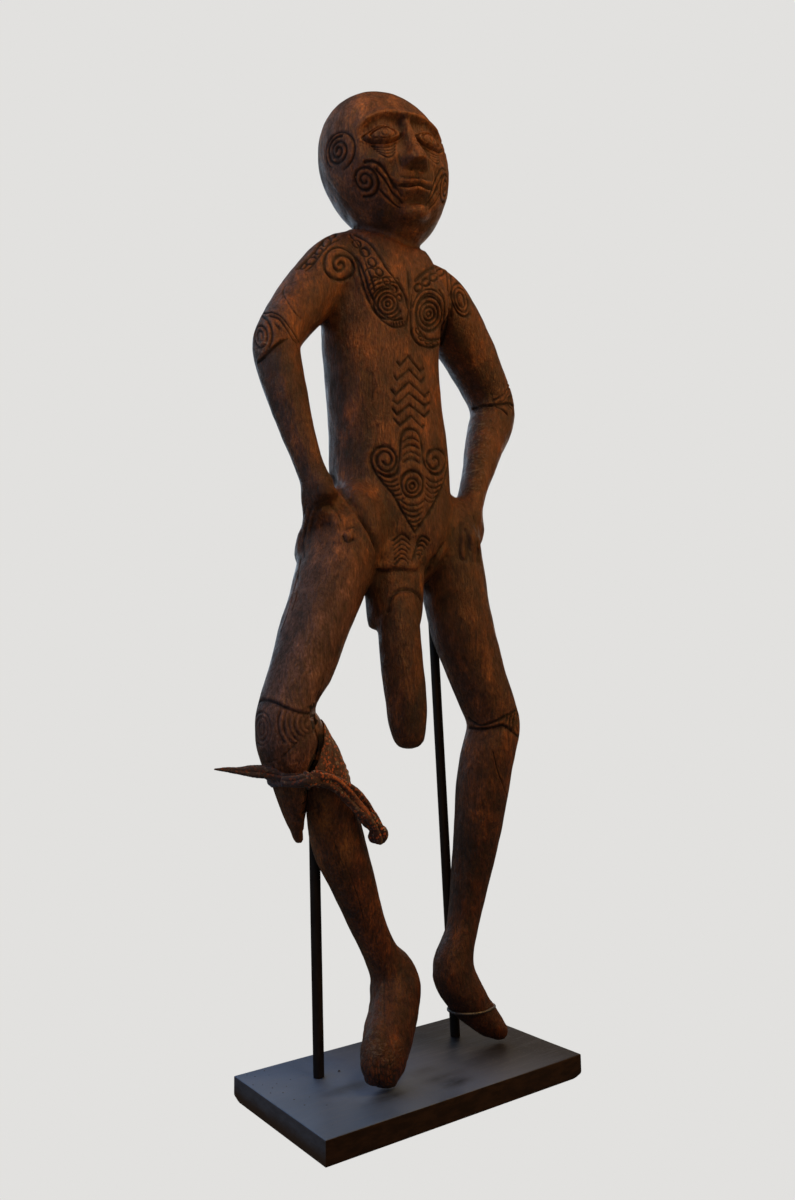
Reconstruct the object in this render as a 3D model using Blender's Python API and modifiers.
"""Standing carved wooden ancestor figure on a slate-coloured board plinth, held by two black rods.

Frame: origin at the centre of the plinth's underside, +X along the plinth's long side (the figure's left),
-Y the figure's front, +Z up. Metres.
"""
import bpy
import bmesh
import math
from mathutils import Vector, Matrix

for ob in list(bpy.data.objects):
    bpy.data.objects.remove(ob, do_unlink=True)
scene = bpy.context.scene

# ------------------------------------------------------------------ driving sizes
PLINTH = (0.500, 0.280, 0.035)
PLINTH_EDGE = 0.0025
ROD_R = 0.0088
WIRE_R = 0.0022
GAP = 0.0003

ROD_A_FOOT = (-0.1455, 0.0510)           # behind the right calf
ROD_A_TOP = (-0.1600, 0.0410, 0.545)
ROD_B_FOOT = (0.1405, 0.0574)            # behind the left leg, up to the seat
ROD_B_TOP = (0.1290, 0.0880, 0.885)

FIG_CELL = 0.0058                        # cell of the figure's surface
FIG_TRIS = 6200
LEG_CELL = 0.0040
LEG_TRIS = 1300
KERCHIEF_CELL = 0.0013
KERCHIEF_TRIS = 1000

FRONT = Vector((-0.06, -0.998, 0.0)).normalized()     # way the trunk faces
VIEW = Vector((0.589, 0.808, 0.0))                    # across the split of the right leg

# every limb: x, y, z of the section's centre, half width, half depth
TRUNK = [
    (-0.008, 0.035, 1.490, 0.020, 0.020),
    (-0.009, 0.035, 1.480, 0.060, 0.044),
    (-0.010, 0.035, 1.457, 0.090, 0.062),
    (-0.010, 0.035, 1.420, 0.109, 0.075),
    (-0.011, 0.035, 1.363, 0.117, 0.082),
    (-0.015, 0.035, 1.284, 0.114, 0.081),
    (-0.013, 0.035, 1.210, 0.110, 0.079),
    (-0.007, 0.035, 1.142, 0.110, 0.080),
    (-0.001, 0.035, 1.080, 0.112, 0.083),
    (0.001, 0.035, 1.010, 0.113, 0.086),
    (0.001, 0.035, 0.950, 0.115, 0.088),
    (0.008, 0.033, 0.900, 0.106, 0.083),
    (0.012, 0.030, 0.860, 0.080, 0.070),
    (0.014, 0.028, 0.835, 0.045, 0.045),
]
THIGH_R = [
    (-0.075, 0.020, 0.985, 0.040, 0.040),
    (-0.092, 0.014, 0.950, 0.058, 0.062),
    (-0.113, 0.006, 0.905, 0.065, 0.070),
    (-0.133, 0.000, 0.862, 0.064, 0.070),
    (-0.154, -0.006, 0.818, 0.059, 0.066),
    (-0.173, -0.012, 0.777, 0.0555, 0.062),
    (-0.193, -0.018, 0.736, 0.0535, 0.059),
    (-0.211, -0.025, 0.697, 0.0505, 0.055),
    (-0.229, -0.031, 0.659, 0.0480, 0.051),
    (-0.246, -0.035, 0.622, 0.0470, 0.049),
    (-0.2500, -0.036, 0.595, 0.0500, 0.050),
    (-0.2450, -0.036, 0.568, 0.0520, 0.050),
    (-0.2360, -0.034, 0.544, 0.0520, 0.047),
    (-0.2270, -0.032, 0.520, 0.0490, 0.043),
    (-0.2210, -0.031, 0.496, 0.0450, 0.038),
    (-0.2120, -0.029, 0.475, 0.0440, 0.033),
    (-0.2000, -0.026, 0.452, 0.0440, 0.028),
]
TONGUE = [
    (-0.246, -0.034, 0.500, 0.0160, 0.020),
    (-0.2420, -0.032, 0.480, 0.0170, 0.019),
    (-0.2390, -0.030, 0.462, 0.0140, 0.016),
    (-0.2345, -0.029, 0.445, 0.0102, 0.013),
    (-0.2300, -0.028, 0.430, 0.0092, 0.012),
    (-0.2265, -0.028, 0.4165, 0.0080, 0.011),
]
CALF_R = [
    (-0.228, -0.028, 0.618, 0.0180, 0.022),
    (-0.222, -0.026, 0.595, 0.0290, 0.034),
    (-0.2110, -0.023, 0.560, 0.0400, 0.041),
    (-0.1950, -0.019, 0.528, 0.0450, 0.043),
    (-0.1770, -0.016, 0.490, 0.0440, 0.042),
    (-0.1590, -0.010, 0.452, 0.0430, 0.043),
    (-0.144, -0.006, 0.414, 0.0425, 0.043),
    (-0.135, -0.004, 0.388, 0.0415, 0.042),
    (-0.119, 0.000, 0.355, 0.0375, 0.039),
    (-0.101, 0.002, 0.315, 0.0335, 0.035),
    (-0.084, 0.004, 0.275, 0.0300, 0.032),
    (-0.064, 0.006, 0.236, 0.0280, 0.031),
    (-0.048, 0.008, 0.209, 0.0300, 0.034),
    (-0.033, 0.006, 0.186, 0.0375, 0.038),
    (-0.030, 0.000, 0.162, 0.0420, 0.041),
    (-0.041, -0.012, 0.138, 0.0415, 0.038),
    (-0.059, -0.026, 0.113, 0.0425, 0.034),
    (-0.077, -0.039, 0.090, 0.0420, 0.030),
    (-0.093, -0.050, 0.071, 0.0385, 0.026),
    (-0.104, -0.058, 0.056, 0.0300, 0.019),
]
LEG_L = [
    (0.095, 0.026, 0.985, 0.040, 0.040),
    (0.115, 0.024, 0.950, 0.058, 0.062),
    (0.119, 0.022, 0.905, 0.059, 0.067),
    (0.124, 0.018, 0.858, 0.0590, 0.067),
    (0.130, 0.010, 0.796, 0.0575, 0.063),
    (0.137, 0.004, 0.751, 0.0575, 0.060),
    (0.149, -0.002, 0.707, 0.0540, 0.056),
    (0.162, -0.008, 0.664, 0.0505, 0.053),
    (0.177, -0.014, 0.620, 0.0480, 0.050),
    (0.186, -0.016, 0.595, 0.0465, 0.049),
    (0.1885, -0.016, 0.577, 0.0464, 0.049),
    (0.182, -0.014, 0.555, 0.0480, 0.049),
    (0.172, -0.009, 0.512, 0.0485, 0.049),
    (0.166, -0.003, 0.466, 0.0480, 0.048),
    (0.162, 0.004, 0.413, 0.0435, 0.045),
    (0.157, 0.011, 0.361, 0.0380, 0.041),
    (0.150, 0.018, 0.308, 0.0335, 0.036),
    (0.141, 0.021, 0.260, 0.0288, 0.031),
    (0.131, 0.021, 0.222, 0.0280, 0.030),
    (0.120, 0.021, 0.198, 0.0310, 0.032),
    (0.110, 0.020, 0.172, 0.0370, 0.035),
    (0.110, 0.017, 0.148, 0.0390, 0.036),
    (0.122, 0.010, 0.122, 0.0370, 0.034),
    (0.141, 0.007, 0.098, 0.0335, 0.031),
    (0.157, -0.003, 0.077, 0.0285, 0.025),
    (0.175, -0.012, 0.0595, 0.0210, 0.018),
    (0.1885, -0.017, 0.0495, 0.0140, 0.012),
]
ARM_R = [
    (-0.040, 0.042, 1.438, 0.030, 0.030),
    (-0.078, 0.044, 1.424, 0.0490, 0.048),
    (-0.112, 0.041, 1.396, 0.0530, 0.054),
    (-0.152, 0.036, 1.347, 0.0510, 0.052),
    (-0.190, 0.030, 1.300, 0.0465, 0.049),
    (-0.221, 0.023, 1.256, 0.0420, 0.045),
    (-0.2395, 0.018, 1.222, 0.0395, 0.043),
    (-0.241, 0.013, 1.195, 0.0388, 0.042),
    (-0.235, 0.005, 1.152, 0.0365, 0.039),
    (-0.227, -0.002, 1.111, 0.0325, 0.035),
    (-0.218, -0.009, 1.070, 0.0275, 0.031),
    (-0.207, -0.016, 1.030, 0.0240, 0.028),
    (-0.195, -0.022, 0.993, 0.0230, 0.028),
    (-0.178, -0.030, 0.955, 0.0260, 0.032),
]
ARM_L = [
    (0.060, 0.040, 1.438, 0.030, 0.030),
    (0.098, 0.042, 1.420, 0.0490, 0.048),
    (0.138, 0.044, 1.393, 0.0555, 0.056),
    (0.176, 0.047, 1.352, 0.0565, 0.056),
    (0.207, 0.050, 1.318, 0.0550, 0.054),
    (0.239, 0.053, 1.275, 0.0490, 0.050),
    (0.266, 0.055, 1.233, 0.0450, 0.046),
    (0.270, 0.052, 1.196, 0.0440, 0.045),
    (0.252, 0.044, 1.160, 0.0430, 0.043),
    (0.229, 0.035, 1.121, 0.0375, 0.039),
    (0.205, 0.024, 1.074, 0.0310, 0.034),
    (0.180, 0.013, 1.029, 0.0255, 0.030),
    (0.160, 0.004, 0.989, 0.0240, 0.029),
    (0.148, -0.004, 0.955, 0.0250, 0.030),
]
PUBIC_BLOCK = [
    (-0.022, -0.016, 0.880, 0.048, 0.040),
    (-0.028, -0.018, 0.850, 0.048, 0.044),
    (-0.032, -0.018, 0.810, 0.049, 0.042),
    (-0.033, -0.018, 0.770, 0.047, 0.039),
    (-0.034, -0.018, 0.748, 0.043, 0.036),
]
SHAFT = [
    (-0.038, -0.040, 0.815, 0.026, 0.022),
    (-0.041, -0.044, 0.790, 0.033, 0.030),
    (-0.045, -0.047, 0.745, 0.0350, 0.035),
    (-0.044, -0.050, 0.705, 0.0355, 0.036),
    (-0.041, -0.052, 0.660, 0.0360, 0.036),
    (-0.0375, -0.054, 0.620, 0.0340, 0.035),
    (-0.036, -0.055, 0.590, 0.0325, 0.032),
    (-0.034, -0.056, 0.566, 0.0270, 0.027),
]
HEAD_C = Vector((-0.0229, 0.000, 1.5875))
HEAD_HALF = (0.1265, 0.1045, 0.1448)       # half width, half depth, half height
HEAD_TAPER, HEAD_CHIN = 0.128, 0.054
HEAD_ROLL, HEAD_PITCH, HEAD_YAW = math.radians(-12.0), math.radians(-8.5), math.radians(4.0)
HAND_R = dict(wrist=(-0.190, -0.024, 0.985), knuckle=(-0.170, -0.006, 0.925), centre=(-0.118, 0.003, 0.90),
              radius=0.067, bearings=(163, 143, 121, 98), thumb=226, tip=0.868, side=-1)
HAND_L = dict(wrist=(0.155, 0.001, 0.985), knuckle=(0.157, 0.008, 0.930), centre=(0.118, 0.020, 0.90),
              radius=0.063, bearings=(20, 42, 64, 86), thumb=-78, tip=0.866, side=1)


# ------------------------------------------------------------------ helpers
def spline(rows, step):
    """Rows of numbers joined by a Catmull-Rom curve, sampled about every step of length."""
    out = []
    n = len(rows)
    for i in range(n - 1):
        p0, p1, p2, p3 = rows[max(i - 1, 0)], rows[i], rows[i + 1], rows[min(i + 2, n - 1)]
        length = (Vector(p2[:3]) - Vector(p1[:3])).length
        m = max(1, round(length / step))
        for k in range(m):
            t = k / m
            out.append([0.5 * (2 * b + (c - a) * t + (2 * a - 5 * b + 4 * c - d) * t * t
                               + (3 * b - a - 3 * c + d) * t ** 3)
                        for a, b, c, d in zip(p0, p1, p2, p3)])
    out.append(list(rows[-1]))
    return out


def loft(rows, front=FRONT, seg=28, step=0.012, dome=(0.0, 0.0), power=2.0):
    """Closed skin through elliptical sections set square to their own path, with domed ends."""
    rings = spline(rows, step)
    pts = [Vector(r[:3]) for r in rings]
    bm = bmesh.new()
    loops = []

    def ring(c, tangent, a, b):
        side = tangent.cross(front).normalized()
        fore = side.cross(tangent).normalized()
        row = []
        for k in range(seg):
            w = 2 * math.pi * k / seg
            cu, su = math.cos(w), math.sin(w)
            pu = math.copysign(abs(cu) ** (2 / power), cu)
            pv = math.copysign(abs(su) ** (2 / power), su)
            row.append(bm.verts.new(c + side * (a * pu) + fore * (b * pv)))
        loops.append(row)

    n = len(rings)
    tang = [(pts[min(i + 1, n - 1)] - pts[max(i - 1, 0)]).normalized() for i in range(n)]
    steps = 4
    if dome[0]:
        for k in range(1, steps):
            w = math.pi / 2 * k / steps
            ring(pts[0] - tang[0] * (dome[0] * math.cos(w)), tang[0], rings[0][3] * math.sin(w), rings[0][4] * math.sin(w))
    for i in range(n):
        ring(pts[i], tang[i], rings[i][3], rings[i][4])
    if dome[1]:
        for k in range(steps - 1, 0, -1):
            w = math.pi / 2 * k / steps
            ring(pts[-1] + tang[-1] * (dome[1] * math.cos(w)), tang[-1], rings[-1][3] * math.sin(w), rings[-1][4] * math.sin(w))
    for a, b in zip(loops, loops[1:]):
        for k in range(seg):
            bm.faces.new((a[k], a[(k + 1) % seg], b[(k + 1) % seg], b[k]))
    bm.faces.new(loops[0][::-1])
    bm.faces.new(loops[-1])
    bmesh.ops.recalc_face_normals(bm, faces=bm.faces)
    return bm


def egg(centre, half, taper, chin, rot, u=36, v=24):
    """Ellipsoid whose width draws in towards its lower end."""
    bm = bmesh.new()
    bmesh.ops.create_uvsphere(bm, u_segments=u, v_segments=v, radius=1.0)
    for p in bm.verts:
        z = p.co.z
        k = 1 + taper * z - chin * z * z * (1 if z < 0 else 0.3)
        p.co = centre + rot @ Vector((p.co.x * half[0] * k, p.co.y * half[1] * (1 + (k - 1) * 0.8), z * half[2]))
    return bm


def add(bm, name, coll):
    me = bpy.data.meshes.new(name)
    bm.to_mesh(me)
    bm.free()
    ob = bpy.data.objects.new(name, me)
    coll.objects.link(ob)
    return ob


def join(bms, name, coll):
    whole = bmesh.new()
    for bm in bms:
        me = bpy.data.meshes.new("tmp")
        bm.to_mesh(me)
        bm.free()
        whole.from_mesh(me)
        bpy.data.meshes.remove(me)
    return add(whole, name, coll)


def baked(ob):
    """The object's mesh with its modifiers applied."""
    dg = bpy.context.evaluated_depsgraph_get()
    dg.update()
    me = bpy.data.meshes.new_from_object(ob.evaluated_get(dg))
    ob.modifiers.clear()
    old = ob.data
    ob.data = me
    if old.users == 0:
        bpy.data.meshes.remove(old)
    return ob


def one_skin(ob, cell, smooth, tris):
    """Overlapping lofts become one closed carved body of about tris triangles."""
    m = ob.modifiers.new("skin", "REMESH")
    m.mode, m.voxel_size = "VOXEL", cell
    m = ob.modifiers.new("ease", "SMOOTH")
    m.factor, m.iterations = 0.5, smooth
    baked(ob)
    n = sum(len(p.vertices) - 2 for p in ob.data.polygons)
    m = ob.modifiers.new("facets", "DECIMATE")
    m.ratio = min(1.0, tris / n)
    m.use_collapse_triangulate = True
    baked(ob)
    return ob


def cut(ob, cutter, op="DIFFERENCE"):
    m = ob.modifiers.new("cut", "BOOLEAN")
    m.operation, m.solver, m.object = op, "EXACT", cutter
    baked(ob)
    return ob


def largest_piece(ob):
    """Keeps the biggest connected piece of the mesh."""
    bm = bmesh.new()
    bm.from_mesh(ob.data)
    left, best = set(bm.verts), []
    while left:
        stack = [left.pop()]
        part = [stack[0]]
        while stack:
            for e in stack.pop().link_edges:
                for w in e.verts:
                    if w in left:
                        left.remove(w)
                        stack.append(w)
                        part.append(w)
        if len(part) > len(best):
            best = part
    keep = set(best)
    bmesh.ops.delete(bm, geom=[w for w in bm.verts if w not in keep], context="VERTS")
    bm.to_mesh(ob.data)
    bm.free()
    return ob


def material(name, rgb, rough, metal=0.0):
    m = bpy.data.materials.new(name)
    m.use_nodes = True
    b = m.node_tree.nodes["Principled BSDF"]
    b.inputs["Base Color"].default_value = (*rgb, 1)
    b.inputs["Roughness"].default_value = rough
    b.inputs["Metallic"].default_value = metal
    return m


part = bpy.data.collections.new("ancestor_figure")
scene.collection.children.link(part)
guides = bpy.data.collections.new("guides")
scene.collection.children.link(guides)

WOOD = material("carved_wood", (0.10, 0.043, 0.020), 0.60)
WOOD_LEG = material("carved_wood_leg", (0.10, 0.045, 0.021), 0.60)
SLATE = material("plinth_paint", (0.045, 0.050, 0.058), 0.50)
BLACK = material("rod_paint", (0.012, 0.012, 0.013), 0.45, 0.5)
WIRE = material("wire_steel", (0.11, 0.12, 0.14), 0.45, 0.8)
CLOTH = material("printed_cloth", (0.055, 0.030, 0.026), 0.85)


def finish(ob, mat):
    ob.data.materials.clear()
    ob.data.materials.append(mat)
    for p in ob.data.polygons:
        p.material_index = 0
        p.use_smooth = False
    return ob


# ------------------------------------------------------------------ hands
def fingers(h, front=FRONT):
    """Palm, four fingers laid round the hip, and a thumb to the front."""
    out = []
    c = Vector(h["centre"])
    w, k = Vector(h["wrist"]), Vector(h["knuckle"])
    out.append(loft([(*w, 0.024, 0.026), (*((w + k) / 2), 0.030, 0.026), (*k, 0.033, 0.024),
                     (*(k + (k - w) * 0.25), 0.028, 0.020)], dome=(0, 0.012), seg=20))

    def on_hip(deg, z, r):
        a = math.radians(deg)
        shift = (h["centre"][2] - z) * 0.42 * h["side"]
        return Vector((c.x + shift + r * math.cos(a), c.y + r * 1.02 * math.sin(a), z))
    tips = (0.010, 0.0, 0.004, 0.014)
    for i, deg in enumerate(h["bearings"]):
        a = on_hip(deg, k.z + 0.012, h["radius"] * 0.93)
        b = on_hip(deg + 2 * h["side"], (k.z + h["tip"]) / 2, h["radius"] + 0.002)
        e = on_hip(deg + 3 * h["side"], h["tip"] + tips[i], h["radius"] - 0.001)
        out.append(loft([(*(a * 0.6 + w * 0.4), 0.011, 0.011), (*a, 0.0115, 0.0115), (*b, 0.0110, 0.0105),
                         (*e, 0.0095, 0.0090)], dome=(0, 0.008), seg=12))
    a = on_hip(h["thumb"] - 26 * h["side"] * -1, k.z + 0.020, h["radius"] * 0.80)
    b = on_hip(h["thumb"], (k.z + h["tip"]) / 2 + 0.016, h["radius"] + 0.001)
    e = on_hip(h["thumb"] + 4 * h["side"], h["tip"] + 0.034, h["radius"] - 0.001)
    out.append(loft([(*w, 0.012, 0.012), (*a, 0.0130, 0.0125), (*b, 0.0125, 0.0110), (*e, 0.0100, 0.0090)],
                    dome=(0, 0.009), seg=12))
    return out


# ------------------------------------------------------------------ head
def head():
    rot = (Matrix.Rotation(HEAD_YAW, 3, "Z") @ Matrix.Rotation(HEAD_ROLL, 3, "Y")
           @ Matrix.Rotation(HEAD_PITCH, 3, "X"))
    out = [egg(HEAD_C, HEAD_HALF, HEAD_TAPER, HEAD_CHIN, rot)]
    hy = HEAD_HALF[1]

    def at(x, y, z):
        return tuple(HEAD_C + rot @ Vector((x, y, z)))
    # straight nose from between the brows to mid face, brow ridge and closed lips
    out.append(loft([(*at(0, -hy * 0.90, 0.042), 0.008, 0.010), (*at(0, -hy * 0.965, 0.010), 0.010, 0.012),
                     (*at(0, -hy * 0.985, -0.022), 0.014, 0.015), (*at(0, -hy * 0.935, -0.038), 0.019, 0.012)],
                    dome=(0.006, 0.006), seg=14, step=0.010))
    for s in (-1, 1):
        out.append(loft([(*at(0.006 * s, -hy * 0.915, 0.040), 0.007, 0.010),
                         (*at(0.036 * s, -hy * 0.870, 0.046), 0.008, 0.010),
                         (*at(0.066 * s, -hy * 0.735, 0.036), 0.006, 0.008)],
                        front=Vector((0, -0.3, 1)), dome=(0.004, 0.004), seg=10, step=0.010))
    out.append(loft([(*at(-0.034, -hy * 0.770, -0.071), 0.006, 0.008), (*at(0, -hy * 0.835, -0.075), 0.008, 0.009),
                     (*at(0.034, -hy * 0.770, -0.071), 0.006, 0.008)], front=Vector((0, -0.5, 0.9)),
                    dome=(0.004, 0.004), seg=10, step=0.010))
    return out


# ------------------------------------------------------------------ carved figure and split-off lower leg
chest = [
    loft([(-0.062, -0.016, 1.395, 0.034, 0.022), (-0.060, -0.024, 1.360, 0.046, 0.026), (-0.058, -0.020, 1.325, 0.040, 0.020)],
         dome=(0.015, 0.012), seg=18),
    loft([(0.050, -0.018, 1.395, 0.032, 0.022), (0.050, -0.026, 1.360, 0.044, 0.026), (0.048, -0.022, 1.325, 0.038, 0.020)],
         dome=(0.015, 0.012), seg=18),
]
seat = [
    loft([(-0.058, 0.078, 0.965, 0.040, 0.030), (-0.064, 0.082, 0.915, 0.054, 0.040), (-0.070, 0.066, 0.865, 0.045, 0.034)],
         dome=(0.02, 0.018), seg=20),
    loft([(0.072, 0.078, 0.965, 0.040, 0.030), (0.086, 0.082, 0.915, 0.058, 0.040), (0.098, 0.068, 0.868, 0.050, 0.034)],
         dome=(0.02, 0.018), seg=20),
]
neck = [loft([(-0.012, 0.022, 1.455, 0.060, 0.056), (-0.014, 0.014, 1.520, 0.058, 0.056)], seg=20)]

figure = join(
    [loft(TRUNK, dome=(0.006, 0.02), power=2.25), loft(THIGH_R, dome=(0.01, 0.0)), loft(TONGUE, dome=(0.004, 0.008), seg=16),
     loft(LEG_L, dome=(0.01, 0.008)), loft(ARM_R, dome=(0.01, 0.01)), loft(ARM_L, dome=(0.01, 0.01)),
     loft(PUBIC_BLOCK, dome=(0.01, 0.004), power=2.6), loft(SHAFT, dome=(0.010, 0.020))]
    + chest + seat + neck + head() + fingers(HAND_R) + fingers(HAND_L), "figure", part)

lower_leg = join([loft(CALF_R, dome=(0.010, 0.010))], "lower_leg", part)


# ------------------------------------------------------------------ the split of the right leg
# it runs down from the inside of the knee, straight through the limb along the view line (x, z at y = SPLIT_Y)
SPLIT_Y = -0.022
SPLIT = [(-0.1700, 0.6230), (-0.1860, 0.6205), (-0.1911, 0.6161), (-0.1894, 0.6036), (-0.1867, 0.5848),
         (-0.1823, 0.5660), (-0.1824, 0.5521), (-0.1879, 0.5383), (-0.1961, 0.5233), (-0.2007, 0.5082),
         (-0.2035, 0.4901), (-0.2062, 0.4751), (-0.2110, 0.4600), (-0.2110, 0.4380), (-0.2110, 0.3600)]
SPLIT_GAP = 0.0006


def split_block(outward, gap, reach):
    """Slab along the view line on one side of the split: outward +1 covers the lower leg's side, -1 the knee's."""
    bm = bmesh.new()
    perp = Vector((VIEW.y, -VIEW.x, 0)).normalized()
    near, far = [], []
    for depth, store in ((-0.15, near), (0.15, far)):
        for x, z in SPLIT:
            store.append(bm.verts.new(Vector((x, SPLIT_Y, z)) + perp * gap * outward + VIEW * depth))
        for x, z in reversed(SPLIT):
            store.append(bm.verts.new(Vector((x, SPLIT_Y, z)) + perp * (reach * outward) + VIEW * depth))
    n = len(near)
    for i in range(n):
        j = (i + 1) % n
        bm.faces.new((near[i], near[j], far[j], far[i]))
    m = n // 2
    for row in (near, far):
        for i in range(m - 1):
            bm.faces.new((row[i], row[i + 1], row[n - 2 - i], row[n - 1 - i]))
    bmesh.ops.recalc_face_normals(bm, faces=bm.faces)
    ob = add(bm, "split_guide", guides)
    ob.hide_render, ob.display_type = True, "WIRE"
    return ob


def rod(name, foot, top, r, seg=20, coll=part):
    """Round bar from the plinth's top to its upper end, cut level with the plinth."""
    a, b = Vector((foot[0], foot[1], PLINTH[2] + GAP)), Vector(top)
    bm = bmesh.new()
    loops = []
    for c in (a, a.lerp(b, 0.5), b):
        loops.append([bm.verts.new(c + Vector((r * math.cos(2 * math.pi * k / seg), r * math.sin(2 * math.pi * k / seg), 0)))
                      for k in range(seg)])
    for p, q in zip(loops, loops[1:]):
        for k in range(seg):
            bm.faces.new((p[k], p[(k + 1) % seg], q[(k + 1) % seg], q[k]))
    bm.faces.new(loops[0][::-1])
    bm.faces.new(loops[-1])
    bmesh.ops.recalc_face_normals(bm, faces=bm.faces)
    return add(bm, name, coll)


def rod_at(foot, top, z):
    """Point on a rod's axis at height z."""
    a, b = Vector((foot[0], foot[1], PLINTH[2] + GAP)), Vector(top)
    return a.lerp(b, (z - a.z) / (b.z - a.z))


one_skin(figure, FIG_CELL, 6, FIG_TRIS)
one_skin(lower_leg, LEG_CELL, 4, LEG_TRIS)
cut(figure, split_block(1, -SPLIT_GAP / 2, 0.085))
cut(lower_leg, split_block(-1, -SPLIT_GAP / 2, 0.120))
for ob, top in ((figure, ROD_B_TOP), (lower_leg, None)):
    if top:
        bore = rod("rod_guide", ROD_B_FOOT, rod_at(ROD_B_FOOT, ROD_B_TOP, ROD_B_TOP[2] + GAP), ROD_R + GAP, coll=guides)
    else:
        bore = rod("rod_guide", ROD_A_FOOT, rod_at(ROD_A_FOOT, ROD_A_TOP, ROD_A_TOP[2] + 0.05), ROD_R + GAP, coll=guides)
    bore.hide_render, bore.display_type = True, "WIRE"
    cut(ob, bore)
    largest_piece(ob)


def rests(ob, level):
    """Flattens the lowest point of a carved piece on to the given level."""
    for p in ob.data.vertices:
        p.co.z = max(p.co.z, level)


rests(lower_leg, PLINTH[2] + GAP)
rests(figure, PLINTH[2] + GAP)
rod_a = rod("rod_knee", ROD_A_FOOT, ROD_A_TOP, ROD_R)
rod_b = rod("rod_seat", ROD_B_FOOT, ROD_B_TOP, ROD_R)


# ------------------------------------------------------------------ wire ring and kerchief follow what they go round
def outline(obs, z, keep):
    """Convex outline (x, y) of the given solids at height z, of the points that keep passes."""
    pts = []
    for ob in obs:
        bm = bmesh.new()
        bm.from_mesh(ob.data)
        got = bmesh.ops.bisect_plane(bm, geom=bm.verts[:] + bm.edges[:] + bm.faces[:], plane_co=(0, 0, z), plane_no=(0, 0, 1))
        pts += [(g.co.x, g.co.y) for g in got["geom_cut"] if isinstance(g, bmesh.types.BMVert) and keep(g.co)]
        bm.free()
    pts = sorted(set(pts))
    hull = []
    for rows in (pts, pts[::-1]):
        half = []
        for p in rows:
            while len(half) > 1 and ((half[-1][0] - half[-2][0]) * (p[1] - half[-2][1])
                                     - (half[-1][1] - half[-2][1]) * (p[0] - half[-2][0])) <= 0:
                half.pop()
            half.append(p)
        hull += half[:-1]
    return [Vector((x, y)) for x, y in hull]


def reach_out(hull, centre, ang, off):
    """Distance from centre along ang to the hull moved out by off."""
    d = Vector((math.cos(ang), math.sin(ang)))
    best = None
    n = len(hull)
    for i in range(n):
        a, b = hull[i], hull[(i + 1) % n]
        e = (b - a).normalized()
        nrm = Vector((e.y, -e.x))
        den = nrm.dot(d)
        if den > 1e-6:
            t = (nrm.dot(a - centre) + off) / den
            best = t if best is None else min(best, t)
    return best


def loop_tube(path, r, seg, name):
    """Closed round wire along a closed path."""
    bm = bmesh.new()
    n = len(path)
    loops = []
    for i in range(n):
        t = (path[(i + 1) % n] - path[i - 1]).normalized()
        s = t.cross(Vector((0, 0, 1))).normalized()
        u = s.cross(t)
        loops.append([bm.verts.new(path[i] + s * (r * math.cos(2 * math.pi * k / seg)) + u * (r * math.sin(2 * math.pi * k / seg)))
                      for k in range(seg)])
    for i in range(n):
        p, q = loops[i], loops[(i + 1) % n]
        for k in range(seg):
            bm.faces.new((p[k], p[(k + 1) % seg], q[(k + 1) % seg], q[k]))
    bmesh.ops.recalc_face_normals(bm, faces=bm.faces)
    return add(bm, name, part)


RING_Z, RING_DROP = 0.096, -0.10
foot_hull = outline([figure], RING_Z, lambda c: c.x > 0.03)
for dz in (-WIRE_R, WIRE_R):
    foot_hull += outline([figure], RING_Z + dz, lambda c: c.x > 0.03)
b_at = rod_at(ROD_B_FOOT, ROD_B_TOP, RING_Z)
foot_hull.append(Vector((b_at.x, b_at.y - ROD_R - 2 * WIRE_R - 3 * GAP)))
mid = Vector((sum(p.x for p in foot_hull) / len(foot_hull), sum(p.y for p in foot_hull) / len(foot_hull)))


def hull_of(pts):
    pts = sorted(set((p.x, p.y) for p in pts))
    hull = []
    for rows in (pts, pts[::-1]):
        half = []
        for p in rows:
            while len(half) > 1 and ((half[-1][0] - half[-2][0]) * (p[1] - half[-2][1])
                                     - (half[-1][1] - half[-2][1]) * (p[0] - half[-2][0])) <= 0:
                half.pop()
            half.append(p)
        hull += half[:-1]
    return [Vector((x, y)) for x, y in hull]


foot_hull = hull_of(foot_hull)
ring_path = []
for k in range(30):
    a = 2 * math.pi * k / 30
    r = reach_out(foot_hull, mid, a, WIRE_R + 2 * GAP)
    ring_path.append(Vector((mid.x + r * math.cos(a), mid.y + r * math.sin(a), RING_Z)))
ring = loop_tube(ring_path, WIRE_R, 6, "foot_ring")

BAND_LOW, BAND_HIGH, BAND_T, BAND_SIDES = 0.492, 0.531, 0.0036, 36
BAND_RISE = 0.050                         # how much higher the cloth goes on the inner side of the lower leg
INNER_WAY = math.atan2(-0.35, 0.94)


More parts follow.
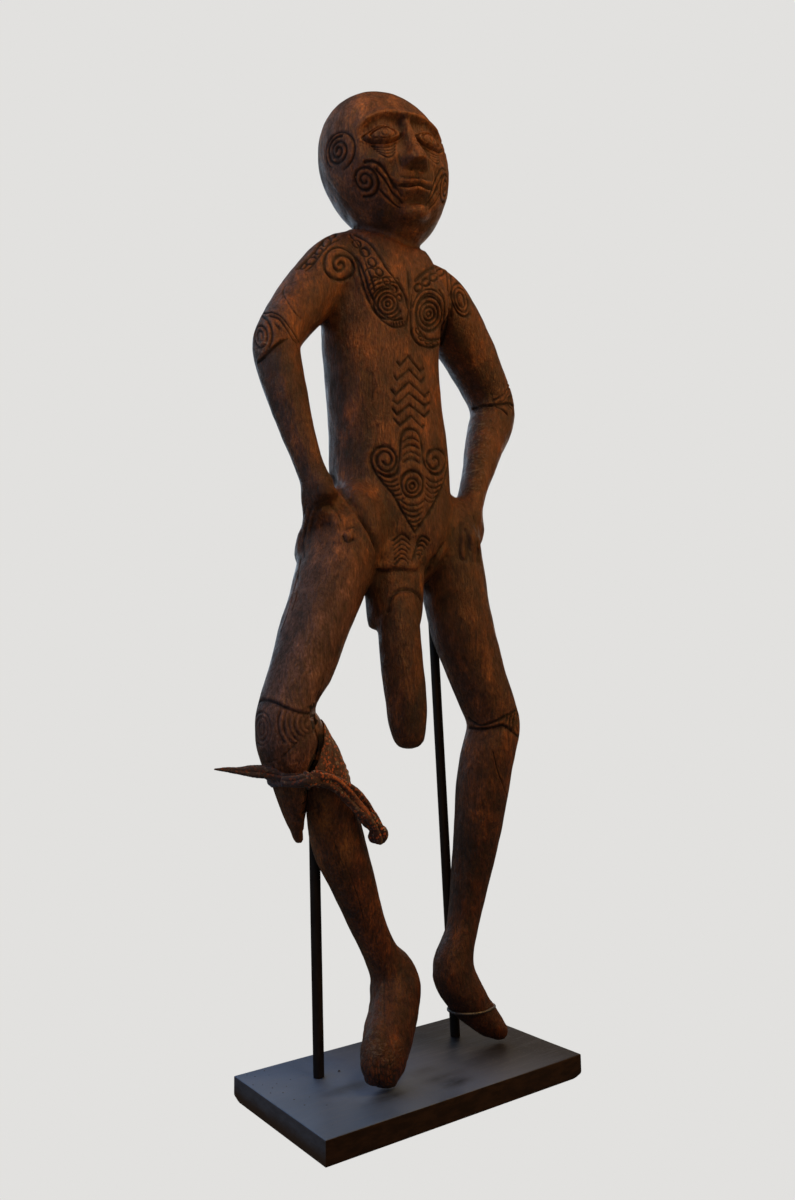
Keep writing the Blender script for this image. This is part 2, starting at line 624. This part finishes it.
def kerchief_band():
    levels = [BAND_LOW + (BAND_HIGH + BAND_RISE - BAND_LOW) * i / 10 for i in range(11)]
    hulls = [outline([figure, lower_leg, rod_a], z, lambda c: c.x < -0.09) for z in levels]
    centre = Vector((-0.205, -0.018))

    def radius(a, z, off):
        t = (z - levels[0]) / (levels[-1] - levels[0]) * (len(levels) - 1)
        i = min(int(t), len(levels) - 2)
        f = t - i
        # tight cloth: never inside any neighbouring section
        r = [reach_out(hulls[j], centre, a, off) for j in (max(i - 1, 0), i, i + 1, min(i + 2, len(levels) - 1))]
        return max(r[1] * (1 - f) + r[2] * f, r[1], r[2])
    bm = bmesh.new()
    cols = []
    rows = 4
    for k in range(BAND_SIDES):
        a = 2 * math.pi * k / BAND_SIDES
        near = max(0.0, math.cos(a - INNER_WAY))
        high = BAND_HIGH + BAND_RISE * near ** 3 + 0.003 * math.sin(3 * a + 1)
        low = BAND_LOW + 0.003 * math.sin(2 * a)
        col = []
        for i in range(rows):
            z = low + (high - low) * i / (rows - 1)
            r = radius(a, min(max(z, levels[0]), levels[-1]), 0.0010)
            col.append((z, r))
        cols.append([bm.verts.new((centre.x + (r + BAND_T) * math.cos(a), centre.y + (r + BAND_T) * math.sin(a), z)) for z, r in col]
                    + [bm.verts.new((centre.x + r * math.cos(a), centre.y + r * math.sin(a), z)) for z, r in reversed(col)])
    m = 2 * rows
    for k in range(BAND_SIDES):
        p, q = cols[k], cols[(k + 1) % BAND_SIDES]
        for i in range(m):
            j = (i + 1) % m
            bm.faces.new((p[i], p[j], q[j], q[i]))
    bmesh.ops.recalc_face_normals(bm, faces=bm.faces)
    return bm


KNOT = [
    (-0.252, -0.079, 0.519, 0.008, 0.005), (-0.232, -0.082, 0.516, 0.0115, 0.009), (-0.214, -0.080, 0.515, 0.0125, 0.011),
    (-0.197, -0.074, 0.514, 0.0105, 0.009), (-0.186, -0.068, 0.512, 0.007, 0.006),
]
TAIL_LEFT = [
    (-0.276, -0.052, 0.524, 0.0080, 0.005), (-0.300, -0.045, 0.5250, 0.0090, 0.0045), (-0.322, -0.040, 0.5265, 0.0085, 0.004),
    (-0.346, -0.036, 0.5275, 0.0050, 0.003), (-0.366, -0.034, 0.5290, 0.0020, 0.0018),
]
TAIL_UPPER = [
    (-0.205, -0.080, 0.514, 0.0080, 0.006), (-0.172, -0.072, 0.502, 0.0070, 0.006), (-0.146, -0.066, 0.485, 0.0080, 0.006),
    (-0.118, -0.060, 0.462, 0.0095, 0.007), (-0.097, -0.054, 0.440, 0.0105, 0.008), (-0.089, -0.050, 0.420, 0.0080, 0.007),
]
TAIL_LOWER = [
    (-0.213, -0.082, 0.510, 0.0060, 0.006), (-0.184, -0.078, 0.497, 0.0060, 0.006), (-0.160, -0.072, 0.477, 0.0065, 0.006),
    (-0.134, -0.064, 0.452, 0.0080, 0.007), (-0.112, -0.058, 0.430, 0.0080, 0.007), (-0.100, -0.055, 0.411, 0.0070, 0.006),
]
cloth = [kerchief_band()]
for rows in (KNOT, TAIL_LEFT, TAIL_UPPER, TAIL_LOWER):
    cloth.append(loft(rows, front=Vector((-0.5, -0.8, 0.1)), seg=12, step=0.008, dome=(0.004, 0.003)))
kerchief = join(cloth, "kerchief", part)
one_skin(kerchief, KERCHIEF_CELL, 2, KERCHIEF_TRIS)


def swollen(ob, by, keep):
    """A copy of the solid grown by a hair, kept to the neighbourhood that keep passes."""
    bm = bmesh.new()
    bm.from_mesh(ob.data)
    bmesh.ops.recalc_face_normals(bm, faces=bm.faces)
    bm.normal_update()
    for p in bm.verts:
        p.co += p.normal * by
    for co, no in keep:
        got = bmesh.ops.bisect_plane(bm, geom=bm.verts[:] + bm.edges[:] + bm.faces[:], plane_co=co, plane_no=no, clear_outer=True)
        edges = [g for g in got["geom_cut"] if isinstance(g, bmesh.types.BMEdge)]
        bmesh.ops.holes_fill(bm, edges=edges, sides=0)
    bmesh.ops.recalc_face_normals(bm, faces=bm.faces)
    grown = add(bm, "wood_guide", guides)
    grown.hide_render, grown.display_type = True, "WIRE"
    return grown


NEAR_KNEE = [((0, 0, 0.70), (0, 0, 1)), ((0, 0, 0.38), (0, 0, -1)), ((-0.085, 0, 0), (1, 0, 0))]
for ob in (figure, lower_leg):
    cut(kerchief, swollen(ob, 0.0005, NEAR_KNEE))
bore = rod("rod_guide", ROD_A_FOOT, rod_at(ROD_A_FOOT, ROD_A_TOP, ROD_A_TOP[2] + 0.05), ROD_R + 2 * GAP, coll=guides)
bore.hide_render, bore.display_type = True, "WIRE"
cut(kerchief, bore)
largest_piece(kerchief)


def box(name, size, centre, bevel=0.0, coll=part):
    bm = bmesh.new()
    bmesh.ops.create_cube(bm, size=1.0)
    for p in bm.verts:
        p.co = Vector((p.co.x * size[0], p.co.y * size[1], p.co.z * size[2])) + Vector(centre)
    ob = add(bm, name, coll)
    if bevel:
        m = ob.modifiers.new("edge", "BEVEL")
        m.width, m.segments = bevel, 2
        baked(ob)
    return ob


plinth = box("plinth", PLINTH, (0, 0, PLINTH[2] / 2), PLINTH_EDGE)

for ob, mat in ((figure, WOOD), (lower_leg, WOOD_LEG), (plinth, SLATE), (rod_a, BLACK), (rod_b, BLACK),
                (ring, WIRE), (kerchief, CLOTH)):
    finish(ob, mat)
